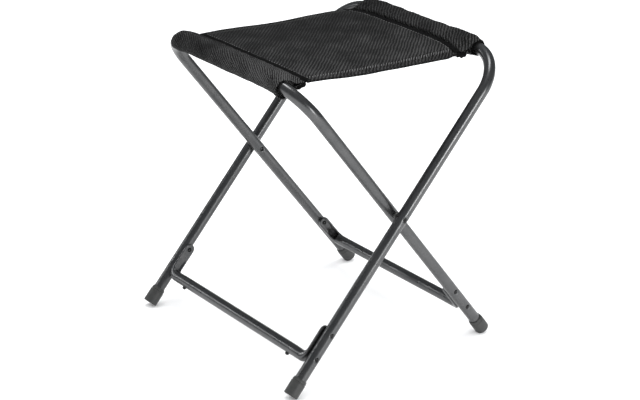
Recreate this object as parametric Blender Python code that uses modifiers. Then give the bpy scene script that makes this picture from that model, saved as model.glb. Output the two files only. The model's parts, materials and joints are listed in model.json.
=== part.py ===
"""Folding camp stool: two crossed U-bent tube frames, a riveted brace in each, and a padded fabric seat.

Metres, +Z up, floor at z = 0. X runs across the seat from bar to bar, Y along the bars.
The inner frame has its bar at -X and its feet at +X, and the outer frame is the other way round.
Each frame is modelled upright round an empty on the pivot axis, which leans it over: there z runs up
the leg from the pivot, y along the bar, and x is square to the frame's plane.
Each seat half is modelled round an empty on its bar's axis, and turns with it as the stool folds.
"""

import math

import bmesh
import bpy
from mathutils import Matrix, Vector

# Frames: distances s run up a leg from the floor end of its centre line
TUBE_R = 0.009
TUBE_WALL = 0.0012
BAR_X = 0.1803
BAR_Z = 0.457
FOOT_X = 0.1987
INNER_Y = 0.1715
OUTER_Y = 0.1932
BEND_R = 0.061
BEND_STEPS = 10
GAP = 0.0003

LEG_LENGTH = math.hypot(BAR_X + FOOT_X, BAR_Z)
LEAN = math.atan2(BAR_X + FOOT_X, BAR_Z)
PIVOT_S = FOOT_X / math.sin(LEAN)
PIVOT_Z = PIVOT_S * math.cos(LEAN)

# Braces: a round tube whose ends turn up the legs as pressed channels
BRACE_S = 0.0663
BRACE_R = 0.0085
BRACE_BORE_R = 0.0072
BORE_STOP = 0.012
TAB_TOP_S = 0.1216
TAB_THICK = 0.0080
TAB_HALF_WIDTH = 0.0098
TAB_FLOOR = 0.0020
CORNER_OUT = (0.0140, 0.0220)
CORNER_IN_DROP = 0.0050
CORNER_STEPS = 6
POCKET_R = 0.0066
POCKET_LOW_S = 0.0715
POCKET_REACH = 0.0400
POCKET_MOUTH = 0.0190

# Fasteners
RIVET_LOW_S = 0.0715
RIVET_HIGH_S = 0.1125
RIVET_SHANK_R = 0.0022
RIVET_HOLE_R = 0.0024
PIVOT_SHANK_R = 0.0026
PIVOT_HOLE_R = 0.00268
SPOT_R = 0.0042
SPOT_DEPTH = 0.0006
SEAT_LIFT = 0.0002
WASHER_R = 0.0060
PLUG_Y = 0.140
PLUG_STEM_R = 0.0020
PLUG_HOLE_R = 0.0022

# Foot caps
CAP_R = 0.0112
CAP_LENGTH = 0.0285
CAP_FLOOR = 0.0030
CAP_START_S = 0.0075
CAP_GROOVE = (0.0226, 0.0239)
CAP_GROOVE_DEPTH = 0.0009

# Seat: u runs inboard from the bar's axis
SLEEVE_R = 0.0140
SLEEVE_WALL = 0.0015
SLEEVE_HALF = 0.137
SLEEVE_TAPER_Y = 0.112
SLEEVE_TAPER = 0.0026
SLEEVE_TIP_U = 0.0375
SLEEVE_TIP_W = 0.0008
SLEEVE_TIP_R = 0.0035
TUBE_AIR = 0.0007
FOAM_HALF = 0.108
FOAM_BORE_R = 0.0093
BINDING_U = (0.0413, 0.0443)
BINDING_RISE = 0.0014
PANEL_U = 0.0446
PANEL_THICK = 0.0025
PANEL_HALF = 0.1272
HEM_THICK = 0.0033
HEM_Y = (0.1275, 0.1390)
SAG_FRONT = 0.0050
SAG_BACK = 0.0015
MIDDLE_GAP = 0.00015
TUCK_AT = (0.0350, 0.1295, -0.0092)
TUCK_SIZE = (0.0080, 0.0115, 0.0026)
FOLDED_ANGLE = math.radians(1.8)

SEGMENTS = 24
RIVET_SEGMENTS = 16
HULL_SEGMENTS = 36
MERGE = 0.00001

# Colour, roughness and metallic value of each material
STEEL = ((0.075, 0.078, 0.082), 0.35, 0.6)
PLASTIC = ((0.085, 0.088, 0.088), 0.55, 0.0)
ZINC = ((0.30, 0.30, 0.31), 0.35, 0.9)
NYLON = ((0.50, 0.50, 0.50), 0.5, 0.0)
RUBBER = ((0.02, 0.02, 0.02), 0.8, 0.0)
FABRIC = ((0.022, 0.022, 0.023), 0.9, 0.0)
TAPE = ((0.012, 0.012, 0.012), 0.95, 0.0)
FOAM = ((0.10, 0.10, 0.10), 0.95, 0.0)


def clear_scene():
    for obj in list(bpy.data.objects):
        bpy.data.objects.remove(obj)


def new_collection(name, hidden):
    made = bpy.data.collections.new(name)
    bpy.context.scene.collection.children.link(made)
    made.hide_render = hidden
    return made


def new_empty(name, location, rotation):
    empty = bpy.data.objects.new(name, None)
    empty.location = location
    empty.rotation_euler = rotation
    parts.objects.link(empty)
    return empty


def material_for(name, look):
    colour, roughness, metallic = look
    made = bpy.data.materials.new(name)
    made.use_nodes = True
    shader = made.node_tree.nodes["Principled BSDF"]
    shader.inputs["Base Color"].default_value = (*colour, 1.0)
    shader.inputs["Roughness"].default_value = roughness
    shader.inputs["Metallic"].default_value = metallic
    made.diffuse_color = (*colour, 1.0)
    return made


def placed(name, mesh, look, parent, location=(0, 0, 0), rotation=(0, 0, 0)):
    """A part with its material, or a hidden cutter where look is None."""
    obj = bpy.data.objects.new(name, mesh)
    obj.parent = parent
    obj.location = location
    obj.rotation_euler = rotation
    if look is None:
        cutters.objects.link(obj)
        obj.hide_render = True
        obj.display_type = "WIRE"
    else:
        parts.objects.link(obj)
        mesh.materials.append(material_for(name, look))
        mesh.shade_smooth()
        mesh.set_sharp_from_angle(angle=math.radians(35))
    return obj


def mesh_of(work, name):
    mesh = bpy.data.meshes.new(name)
    work.to_mesh(mesh)
    work.free()
    return mesh


def lofted(name, rings, capped=True):
    """A skin through rings of equal count, with a flat face over each end ring if capped."""
    work = bmesh.new()
    rows = [[work.verts.new(point) for point in ring] for ring in rings]
    count = len(rows[0])
    for low, high in zip(rows, rows[1:]):
        for k in range(count):
            m = (k + 1) % count
            work.faces.new((low[k], low[m], high[m], high[k]))
    if capped:
        work.faces.new(rows[0])
        work.faces.new(rows[-1])
    bmesh.ops.recalc_face_normals(work, faces=work.faces)
    return mesh_of(work, name)


def turned(name, profile, segments, look, parent, location=(0, 0, 0), rotation=(0, 0, 0), closed=False):
    """A solid turned about its own z from (radius, height) points that run down its outer side."""
    mesh = bpy.data.meshes.new(name)
    count = len(profile)
    edges = [(k, (k + 1) % count) for k in range(count if closed else count - 1)]
    mesh.from_pydata([(radius, 0.0, height) for radius, height in profile], edges, [])
    obj = placed(name, mesh, look, parent, location, rotation)
    screw = obj.modifiers.new("turn", "SCREW")
    screw.steps = segments
    screw.render_steps = segments
    screw.use_merge_vertices = True
    screw.merge_threshold = MERGE
    return obj


def along_y(end=1):
    """The rotation that turns an object's z to +Y, or to -Y where end is -1."""
    return (-end * math.pi / 2, 0, 0)


def solidify(obj, thickness, offset):
    shell = obj.modifiers.new("wall", "SOLIDIFY")
    shell.thickness = thickness
    shell.offset = offset
    shell.use_even_offset = True


def cut(obj, cutter):
    boolean = obj.modifiers.new("cut " + cutter.name, "BOOLEAN")
    boolean.operation = "DIFFERENCE"
    boolean.solver = "EXACT"
    boolean.object = cutter


def cylinder_mesh(name, radius, length, segments=SEGMENTS):
    work = bmesh.new()
    sizes = {"radius1": radius, "radius2": radius, "depth": length}
    bmesh.ops.create_cone(work, cap_ends=True, segments=segments, **sizes)
    return mesh_of(work, name)


def box_mesh(name, low, high):
    work = bmesh.new()
    bmesh.ops.create_cube(work, size=1)
    low, high = Vector(low), Vector(high)
    bmesh.ops.scale(work, vec=high - low, verts=work.verts)
    bmesh.ops.translate(work, vec=(low + high) / 2, verts=work.verts)
    return mesh_of(work, name)


class Frame:
    """One frame's empty and sizes. Side is +1 when its feet stand at +X."""

    def __init__(self, name, side, half_y):
        self.name = name
        self.side = side
        self.half_y = half_y
        self.tab_y = half_y - TUBE_R - GAP
        self.empty = new_empty(name, (0, 0, PIVOT_Z), (0, -side * LEAN, 0))


def leg_point(y, s, x=0.0):
    """A point in a frame's own space, s up the leg from the floor end."""
    return Vector((x, y, s - PIVOT_S))


def u_path(half_y, low_s):
    """The centre line (y, s) of a U with its two bends at the top."""
    path = [(-half_y, low_s)]
    for k in range(BEND_STEPS + 1):
        turn = math.pi / 2 * k / BEND_STEPS
        y = -half_y + BEND_R * (1 - math.cos(turn))
        s = LEG_LENGTH - BEND_R * (1 - math.sin(turn))
        path.append((y, s))
    return path + [(-y, s) for y, s in reversed(path)]


def bent_tube_mesh(name, path, radius):
    """The open skin of a tube along a path, made as a bevelled curve."""
    curve = bpy.data.curves.new(name, "CURVE")
    curve.dimensions = "3D"
    spline = curve.splines.new("POLY")
    spline.points.add(len(path) - 1)
    for point, (y, s) in zip(spline.points, path):
        point.co = (*leg_point(y, s), 1)
    curve.bevel_depth = radius
    curve.bevel_resolution = (SEGMENTS - 4) // 2
    guide = bpy.data.objects.new(name, curve)
    parts.objects.link(guide)
    graph = bpy.context.evaluated_depsgraph_get()
    mesh = bpy.data.meshes.new_from_object(guide.evaluated_get(graph))
    bpy.data.objects.remove(guide)
    work = bmesh.new()
    work.from_mesh(mesh)
    bmesh.ops.remove_doubles(work, verts=work.verts, dist=MERGE)
    bmesh.ops.recalc_face_normals(work, faces=work.faces)
    return mesh_of(work, name)


def cross_hole(obj, frame, label, s, profile):
    """Cuts both legs with one cutter that is turned about a line along Y."""
    mirrored = profile + [(radius, -height) for radius, height in reversed(profile)]
    name = f"{frame.name}_{label}_hole"
    cut(obj, turned(name, mirrored, SEGMENTS, None, frame.empty, leg_point(0, s), along_y()))


def frame_tube(frame):
    path = u_path(frame.half_y, CAP_START_S + CAP_FLOOR + GAP)
    name = frame.name + "_tube"
    obj = placed(name, bent_tube_mesh(name, path, TUBE_R), STEEL, frame.empty)
    solidify(obj, TUBE_WALL, -1)
    past = frame.half_y + 4 * TUBE_R
    outside = frame.half_y + TUBE_R - SPOT_DEPTH
    inside = frame.half_y - TUBE_R + SPOT_DEPTH
    for label, s in (("low", RIVET_LOW_S), ("high", RIVET_HIGH_S)):
        profile = [(0, past), (SPOT_R, past), (SPOT_R, outside), (RIVET_HOLE_R, outside)]
        cross_hole(obj, frame, label, s, profile)
    if frame.half_y == OUTER_Y:
        profile = [(0, past), (SPOT_R, past), (SPOT_R, outside), (PIVOT_HOLE_R, outside)]
    else:
        profile = [(0, past), (PIVOT_HOLE_R, past), (PIVOT_HOLE_R, inside), (SPOT_R, inside)]
    cross_hole(obj, frame, "pivot", PIVOT_S, profile)


def squashed_ring(y, s, across_y, across_s, half_thick, half_width, power):
    """A section from an ellipse (power 2) to a rounded bar (power 5), thick along its across direction."""
    ring = []
    for k in range(SEGMENTS):
        turn = 2 * math.pi * k / SEGMENTS
        thick = half_thick * math.copysign(abs(math.cos(turn)) ** (2 / power), math.cos(turn))
        wide = half_width * math.copysign(abs(math.sin(turn)) ** (2 / power), math.sin(turn))
        ring.append(leg_point(y + across_y * thick, s + across_s * thick, wide))
    return ring


def brace_half(frame):
    """Sections from the brace's straight part out to a leg and up it, as squashed_ring takes them."""
    out_y = frame.tab_y
    rows = [(out_y - 0.036, BRACE_S, 0.0, 1.0, BRACE_R, BRACE_R, 2.0)]
    rows.append((out_y - 0.026, BRACE_S - 0.0002, 0.0, 1.0, BRACE_R - 0.0002, BRACE_R + 0.0002, 2.2))
    run, drop = CORNER_OUT
    for k in range(CORNER_STEPS + 1):
        share = k / CORNER_STEPS
        turn = math.pi / 2 * share
        outside = Vector((run * math.sin(turn), -drop * math.cos(turn)))
        inside = Vector(((run - TAB_THICK) * math.sin(turn), -CORNER_IN_DROP * math.cos(turn)))
        across = (inside - outside).normalized()
        middle = (outside + inside) / 2 + Vector((out_y - run, BRACE_S - BRACE_R + drop))
        half_thick = (outside - inside).length / 2
        width = BRACE_R + (TAB_HALF_WIDTH - BRACE_R) * share
        rows.append((*middle, *across, half_thick, width, 2.4 + 2.6 * share))
    for k in range(6):
        turn = math.radians(80) * k / 5
        s = TAB_TOP_S - TAB_HALF_WIDTH * (1 - math.sin(turn))
        width = TAB_HALF_WIDTH * math.cos(turn)
        rows.append((out_y - TAB_THICK / 2, s, -1.0, 0.0, TAB_THICK / 2, width, 5.0))
    return rows


def pocket_mesh(name):
    """A slot-shaped block: a cylinder with its upper half drawn up the leg."""
    mesh = cylinder_mesh(name, POCKET_R, POCKET_MOUTH - TAB_FLOOR)
    mesh.transform(Matrix.Rotation(math.pi / SEGMENTS, 4, "Z"))
    for vert in mesh.vertices:
        if vert.co.y > 0:
            vert.co.y += POCKET_REACH
    return mesh


def brace(frame):
    half = brace_half(frame)
    mirrored = [(-y, s, -across_y, *rest) for y, s, across_y, *rest in reversed(half)]
    name = frame.name + "_brace"
    rings = [squashed_ring(*row) for row in mirrored + half]
    obj = placed(name, lofted(name, rings), STEEL, frame.empty)
    bore = cylinder_mesh(name + "_bore", BRACE_BORE_R, 2 * (frame.tab_y - BORE_STOP))
    cut(obj, placed(name + "_bore", bore, None, frame.empty, leg_point(0, BRACE_S), along_y()))
    for end, where in ENDS:
        label = f"{frame.name}_pocket_{where}"
        y = end * (frame.tab_y - (TAB_FLOOR + POCKET_MOUTH) / 2)
        rotation = (math.pi / 2, 0, 0)
        cut(obj, placed(label, pocket_mesh(label), None, frame.empty, leg_point(y, POCKET_LOW_S), rotation))
    for label, s in (("low", RIVET_LOW_S), ("high", RIVET_HIGH_S)):
        hole = cylinder_mesh(f"{name}_{label}_hole", RIVET_HOLE_R, 4 * OUTER_Y)
        cut(obj, placed(hole.name, hole, None, frame.empty, leg_point(0, s), along_y()))
    return obj


def rivet(name, frame, end, s, head_y, ring_y, shank_r):
    """A half-tubular rivet along Y: domed head outside at head_y, rolled ring inside at ring_y."""
    length = head_y - ring_y
    head_r = shank_r + 0.0011
    ring_r = shank_r + 0.0013
    profile = [(0, 0.0016)]
    for k in range(1, 5):
        turn = math.pi / 2 * k / 4
        profile.append((head_r * math.sin(turn), 0.0003 + 0.0013 * math.cos(turn)))
    profile += [(head_r, 0.0), (shank_r, 0.0), (shank_r, -length)]
    profile += [(ring_r - 0.0003, -length), (ring_r, -length - 0.0004), (ring_r - 0.0005, -length - 0.0010)]
    profile += [(0.0015, -length - 0.0010), (0.0012, -length - 0.0006)]
    profile += [(0.0012, -length + 0.0025), (0, -length + 0.0025)]
    turned(name, profile, RIVET_SEGMENTS, ZINC, frame.empty, leg_point(end * head_y, s), along_y(end))


def brace_rivets(frame, end, where):
    head_y = frame.half_y + TUBE_R - SPOT_DEPTH + SEAT_LIFT
    ring_y = frame.tab_y - TAB_FLOOR - SEAT_LIFT
    for label, s in (("low", RIVET_LOW_S), ("high", RIVET_HIGH_S)):
        rivet(f"{frame.name}_rivet_{label}_{where}", frame, end, s, head_y, ring_y, RIVET_SHANK_R)


def pivot(frame, end, where):
    """The rivet through both frames at a crossing, and the washer between their tubes."""
    head_y = OUTER_Y + TUBE_R - SPOT_DEPTH + SEAT_LIFT
    ring_y = INNER_Y - TUBE_R + SPOT_DEPTH - SEAT_LIFT
    rivet("pivot_rivet_" + where, frame, end, PIVOT_S, head_y, ring_y, PIVOT_SHANK_R)
    half = (OUTER_Y - INNER_Y - 2 * TUBE_R - GAP) / 2
    profile = [(WASHER_R, half), (WASHER_R, -half), (PIVOT_HOLE_R, -half), (PIVOT_HOLE_R, half)]
    middle = leg_point(end * (INNER_Y + OUTER_Y) / 2, PIVOT_S)
    turned("pivot_washer_" + where, profile, SEGMENTS, NYLON, frame.empty, middle, along_y(), closed=True)


def foot_cap(frame, end, where):
    """A cup over the tube's end with a groove and a tapered lip, cut level where it stands."""
    groove_r = CAP_R - CAP_GROOVE_DEPTH
    low, high = CAP_GROOVE
    profile = [(0, CAP_FLOOR), (TUBE_R + GAP, CAP_FLOOR), (TUBE_R + GAP, CAP_LENGTH)]
    profile += [(TUBE_R + 0.0008, CAP_LENGTH - 0.0002), (CAP_R - 0.0001, high), (groove_r, high - 0.0003)]
    profile += [(groove_r, low + 0.0003), (CAP_R, low), (CAP_R, 0.0006), (CAP_R - 0.0010, 0), (0, 0)]
    name = f"{frame.name}_cap_{where}"
    at = leg_point(end * frame.half_y, CAP_START_S)
    cut(turned(name, profile, SEGMENTS, PLASTIC, frame.empty, at), floor_block)


def brace_plug(frame, brace_obj, end, where):
    """A small rubber nub pressed into the underside of the brace."""
    at = leg_point(end * PLUG_Y, BRACE_S - BRACE_R)
    hole = cylinder_mesh("plug_hole_" + where, PLUG_HOLE_R, 0.008, RIVET_SEGMENTS)
    cut(brace_obj, placed(hole.name, hole, None, frame.empty, at))
    profile = [(0, 0.0030), (PLUG_STEM_R, 0.0030), (PLUG_STEM_R, -0.0002), (0.0031, -0.0002)]
    profile += [(0.0031, -0.0010), (0.0027, -0.0022), (0.0016, -0.0030), (0, -0.0033)]
    turned("brace_plug_" + where, profile, RIVET_SEGMENTS, RUBBER, frame.empty, at)


def bend_drop(y):
    """How far the tube's centre has come down its own frame at this y, on the straight bar 0."""
    half = INNER_Y - BEND_R
    return BEND_R - math.sqrt(BEND_R**2 - max(0.0, abs(y) - half) ** 2)


def sleeve_circles(y):
    """The circles (u, w, radius) that the cover goes round at this y: the bar's pad, the thin inboard
    edge, and near an end the bent tube where it is with the stool open and with it shut."""
    past = min(1.0, max(0.0, (abs(y) - SLEEVE_TAPER_Y) / (SLEEVE_HALF - SLEEVE_TAPER_Y)))
    drop = bend_drop(y)
    slant = (BEND_R - drop) / BEND_R
    around = TUBE_AIR + SLEEVE_WALL
    return [
        (0.0, 0.0, SLEEVE_R - SLEEVE_TAPER * past),
        (SLEEVE_TIP_U, SLEEVE_TIP_W, SLEEVE_TIP_R),
        (drop * math.sin(LEAN), -drop * math.cos(LEAN), TUBE_R / slant + around),
        (drop * math.cos(FOLDED_ANGLE), -drop * math.sin(FOLDED_ANGLE), TUBE_R + around),
    ]


def hull_ring(circles, shrink, y, hand):
    """The outline round circles, one point per direction, in a seat half's own space."""
    ring = []
    for k in range(HULL_SEGMENTS):
        turn = 2 * math.pi * (k + 0.5) / HULL_SEGMENTS
        du, dw = math.cos(turn), math.sin(turn)
        u, w, r = max(circles, key=lambda c: c[0] * du + c[1] * dw + c[2])
        ring.append((-hand * (u + (r - shrink) * du), y, w + (r - shrink) * dw))
    return ring


def sleeve(empty, hand, label):
    """The fabric tube that is rolled round the bar, and the foam inside it."""
    stations = [-SLEEVE_HALF, -0.133, -0.128, -0.122, -0.115, -FOAM_HALF - 0.001]
    stations += [-y for y in reversed(stations)]
    name = "sleeve_cover_" + label
    rings = [hull_ring(sleeve_circles(y), 0.0, y, hand) for y in stations]
    cover = placed(name, lofted(name, rings, capped=False), FABRIC, empty)
    solidify(cover, SLEEVE_WALL, -1)
    name = "sleeve_foam_" + label
    shrink = SLEEVE_WALL + GAP
    rings = [hull_ring(sleeve_circles(0.0), shrink, y, hand) for y in (-FOAM_HALF, FOAM_HALF)]
    foam = placed(name, lofted(name, rings), FOAM, empty)
    bore = cylinder_mesh("foam_bore_" + label, FOAM_BORE_R, 3 * FOAM_HALF, HULL_SEGMENTS)
    cut(foam, placed(bore.name, bore, None, empty, (0, 0, 0), along_y()))


def sag(u, y):
    """How far the cloth hangs below the bars: most at the middle, and more at the front edge."""
    share = min(1.0, max(0.0, (u - PANEL_U) / (BAR_X - PANEL_U)))
    front = 0.5 - 0.5 * y / HEM_Y[1]
    return (SAG_BACK + (SAG_FRONT - SAG_BACK) * front) * (1 - (1 - share) ** 2)


def cloth(name, empty, hand, y_range, cells_y, thickness):
    """A piece of the seat's cloth from the seam to the middle: a grid that sags, given its thickness."""
    work = bmesh.new()
    bmesh.ops.create_grid(work, x_segments=9, y_segments=cells_y, size=0.5)
    u0, u1 = PANEL_U, BAR_X - MIDDLE_GAP
    y0, y1 = y_range
    for vert in work.verts:
        u = u0 + (u1 - u0) * (vert.co.x + 0.5)
        y = y0 + (y1 - y0) * (vert.co.y + 0.5)
        vert.co = (-hand * u, y, -sag(u, y))
    obj = placed(name, mesh_of(work, name), FABRIC, empty)
    solidify(obj, thickness, 0)


def tuck(name, empty, hand, end):
    """The folded-under cloth at a corner, below the sleeve's inboard edge."""
    work = bmesh.new()
    bmesh.ops.create_uvsphere(work, u_segments=12, v_segments=8, radius=1)
    bmesh.ops.scale(work, vec=TUCK_SIZE, verts=work.verts)
    u, y, w = TUCK_AT
    placed(name, mesh_of(work, name), TAPE, empty, (-hand * u, end * y, w))


def seat_half(hand, label):
    """Half of the seat. Hand is -1 on the left bar and +1 on the right."""
    empty = new_empty("seat_" + label, (hand * BAR_X, 0, BAR_Z), (0, 0, 0))
    sleeve(empty, hand, label)
    name = "seam_binding_" + label
    across = sorted(-hand * u for u in BINDING_U)
    half = PANEL_THICK / 2
    low = (across[0], -SLEEVE_HALF, -half)
    high = (across[1], SLEEVE_HALF, half + BINDING_RISE)
    placed(name, box_mesh(name, low, high), TAPE, empty)
    cloth("seat_panel_" + label, empty, hand, (-PANEL_HALF, PANEL_HALF), 8, PANEL_THICK)
    for end, side in ((-1, "front"), (1, "back")):
        y_range = (end * HEM_Y[0], end * HEM_Y[1])
        cloth(f"hem_{side}_{label}", empty, hand, y_range, 1, HEM_THICK)
        tuck(f"corner_tuck_{side}_{label}", empty, hand, end)


ENDS = ((-1, "near"), (1, "far"))

clear_scene()
parts = new_collection("camp_stool", hidden=False)
cutters = new_collection("cutters", hidden=True)
floor_block = placed("floor_block", box_mesh("floor_block", (-0.4, -0.4, -0.05), (0.4, 0.4, 0)), None, None)

inner_frame = Frame("inner_frame", 1, INNER_Y)
outer_frame = Frame("outer_frame", -1, OUTER_Y)
braces = {}
for frame in (inner_frame, outer_frame):
    frame_tube(frame)
    braces[frame.name] = brace(frame)
    for end, where in ENDS:
        foot_cap(frame, end, where)
        brace_rivets(frame, end, where)

for end, where in ENDS:
    pivot(outer_frame, end, where)
    brace_plug(outer_frame, braces[outer_frame.name], end, where)

seat_half(-1, "left")
seat_half(1, "right")
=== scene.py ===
"""Looks of a folding camp stool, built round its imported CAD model.

Metres, +Z up. The steel frames are drawn again with finer meshes on the CAD's own lines, and the seat
is drawn as padded sleeves, a hemmed panel, seams and stitches. Places come from the frame, and the sizes
that its boxes can't give are named below.

Directions: s runs up a leg from the floor, y along the bars, u from a bar toward the seat's middle and
w up from the bar's centre. A hand is -1 for the left bar (the inner frame's) and 1 for the right bar (the
outer frame's). An end is -1 for the near side, which is the seat's front, and 1 for the far side.
"""

import json
import math

import bmesh
import bpy
import numpy as np
from mathutils import Matrix, Vector


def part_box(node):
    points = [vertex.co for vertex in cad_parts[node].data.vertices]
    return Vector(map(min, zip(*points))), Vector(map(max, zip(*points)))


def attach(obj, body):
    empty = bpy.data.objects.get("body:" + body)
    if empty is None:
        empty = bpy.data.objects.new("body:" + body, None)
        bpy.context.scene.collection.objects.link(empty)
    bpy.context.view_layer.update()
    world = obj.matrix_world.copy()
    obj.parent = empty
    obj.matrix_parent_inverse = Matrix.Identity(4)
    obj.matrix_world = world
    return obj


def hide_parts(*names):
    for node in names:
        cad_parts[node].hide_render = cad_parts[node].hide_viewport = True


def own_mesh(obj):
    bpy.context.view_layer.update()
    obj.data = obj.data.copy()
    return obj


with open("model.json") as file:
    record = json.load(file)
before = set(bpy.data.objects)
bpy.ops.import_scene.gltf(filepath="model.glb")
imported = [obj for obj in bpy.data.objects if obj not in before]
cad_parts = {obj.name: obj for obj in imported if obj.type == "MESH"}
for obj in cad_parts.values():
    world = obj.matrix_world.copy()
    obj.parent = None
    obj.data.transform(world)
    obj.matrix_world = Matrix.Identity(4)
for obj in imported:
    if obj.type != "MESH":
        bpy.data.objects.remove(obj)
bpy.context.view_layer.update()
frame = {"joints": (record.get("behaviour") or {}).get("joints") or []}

# ---------------------------------------------------------------- places, read from the frame

JOINTS = {joint["name"]: joint for joint in frame["joints"]}
PIVOT = Vector(JOINTS["fold"]["pos_m"])
BAR = Vector(JOINTS["seat_right_roll"]["pos_m"])
BAR_X, BAR_Z = BAR.x, BAR.z
LEAN = math.atan2(BAR_X, BAR_Z - PIVOT.z)
PIVOT_S = PIVOT.z / math.cos(LEAN)
LEG_LENGTH = BAR_Z / math.cos(LEAN)
TUBE_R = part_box("inner_frame_tube")[1].z - BAR_Z
INNER_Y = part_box("inner_frame_tube")[1].y - TUBE_R
OUTER_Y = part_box("outer_frame_tube")[1].y - TUBE_R
SLEEVE_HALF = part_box("seam_binding_left")[1].y
BINDING_U = BAR_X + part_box("seam_binding_left")[0].x
HEM_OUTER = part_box("hem_back_left")[1].y
PANEL_U = BAR_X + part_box("seat_panel_left")[0].x


def leg_s(node):
    """How far up its leg a node's middle lies."""
    low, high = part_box(node)
    return (low.z + high.z) / 2 / math.cos(LEAN)


RIVET_S = {"low": leg_s("inner_frame_rivet_low_near"), "high": leg_s("inner_frame_rivet_high_near")}

# ---------------------------------------------------------------- sizes of what is drawn here

FIT_GAP = 0.0003                # air between a brace's tab and its leg
AXIS_R = 0.0001                 # the radius at which a turned piece's ends are closed

# tubes and rivets
BEND_R = 0.061                  # of the centre line at the U's corners
TUBE_SIDES = 48
TUBE_STEP = 0.012               # between sections where the tube is plain
DIMPLE_R = 0.0052               # the hollow pressed in round a rivet
DIMPLE_FLOOR_R = 0.0022
DIMPLE_DEPTH = 0.0021
DIMPLE_SPAN = 0.008             # either side of a rivet, the sections are a millimetre apart
RIVET_SHANK_R = 0.0022
PIVOT_SHANK_R = 0.0026

# braces: a round middle, an elbow that flattens, and a channel-shaped tab up the leg's inner side
BRACE_S = 0.0663                # of its centre line, up the leg
BRACE_R = 0.0085
FLATTEN_START = 0.038           # from the tab's outer face
FLATTEN_LENGTH = 0.022
ELBOW_RUN = 0.0140
ELBOW_DROP = 0.0220
ELBOW_INSIDE_DROP = 0.0050
TAB_TOP_S = 0.1216
TAB_HALF_WIDTH = 0.0092
TAB_THICK = 0.0048
TAB_WALL = 0.0014
RING_IN_TAB = 0.0004            # how far a rivet's ring is pressed into the tab
VALLEY_LEFT = 0.20              # the share of the channel's depth that is left at the tab's top
ROUND, SQUARE = 2.0, 4.0        # superellipse powers of a section

# foot caps
CAP_R = 0.0112
CAP_LENGTH = 0.0285
CAP_START_S = 0.0075
CAP_FLOOR = 0.0035              # from a cap's sole to the tube's end

# sleeves, which differ a little by hand and by corner (hand, end)
SLEEVE_R = 0.0140
SLEEVE_TIP = (0.0375, -0.0004, 0.0025)      # u, w and radius of the fold beside the seam
CLOTH = 0.0013                  # thickness
NARROW_FROM = 0.121             # past this y a sleeve draws in to its end
SEAM_END_W = -0.0004            # a seam's height at its ends, where the hems hold it down
SEAM_RISE = {-1: 0.0022, 1: 0.0075}
SEAM_SHIFT = {-1: 0.0005, 1: 0.0052}
SEAM_OPEN = {-1: 0.0012, 1: 0.0032}         # between a sleeve and its seam
CROWN = {-1: 0.0018, 1: 0.0036}             # the foam's extra height over the bar
TWIST = {-1: 0.7, 1: 0.0}                   # how much the weave spirals round the foam
END_SLACK = {(-1, -1): 0.0022, (-1, 1): 0.0, (1, -1): 0.0, (1, 1): 0.0}     # cloth standing off the bar
END_SNUG = {(-1, -1): 1.0, (-1, 1): 0.8, (1, -1): 0.60, (1, 1): 0.9}        # 1 grips the bar all the way
PUFF_MOST = 0.0008              # the furthest that the cloth simulation may move a point
PUFF_FRAMES = 12

# panel
SAG_FRONT = 0.0010              # how far the panel's middle hangs below the bars at its front
SAG_BACK = -0.0006              # and at its back, where it stands a little above them
HEM_CURL = 0.0048               # how far the front hem turns down, before it changes along the hem
FOLD_CLEAR = -0.0005            # the most that the panel's top may rise at the middle, so that it folds shut
FOLD_REACH = 0.110              # how far out from the middle that still lowers it
TWILL_PITCH = 0.0046
STITCH_IN = 0.0124              # from the hem's edge in to its stitching
STITCH_PITCH = 0.0047
STITCH_HALF = 0.0021
EDGE_REACH = 0.0092             # the overlocked edge's width
EDGE_BACK = 0.0062              # how much of it is on the sleeve's side of the panel's start

CAMERA_AZIMUTH = math.radians(-37.23)
CAMERA_ELEVATION = math.radians(21.15)
CAMERA_ROLL = math.radians(1.80)
CAMERA_TARGET = Vector((-0.0033, 0.0012, 0.2058))
CAMERA_DISTANCE = 2.7597
CAMERA_LENS = 100.46


# ---------------------------------------------------------------- node helpers

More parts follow.
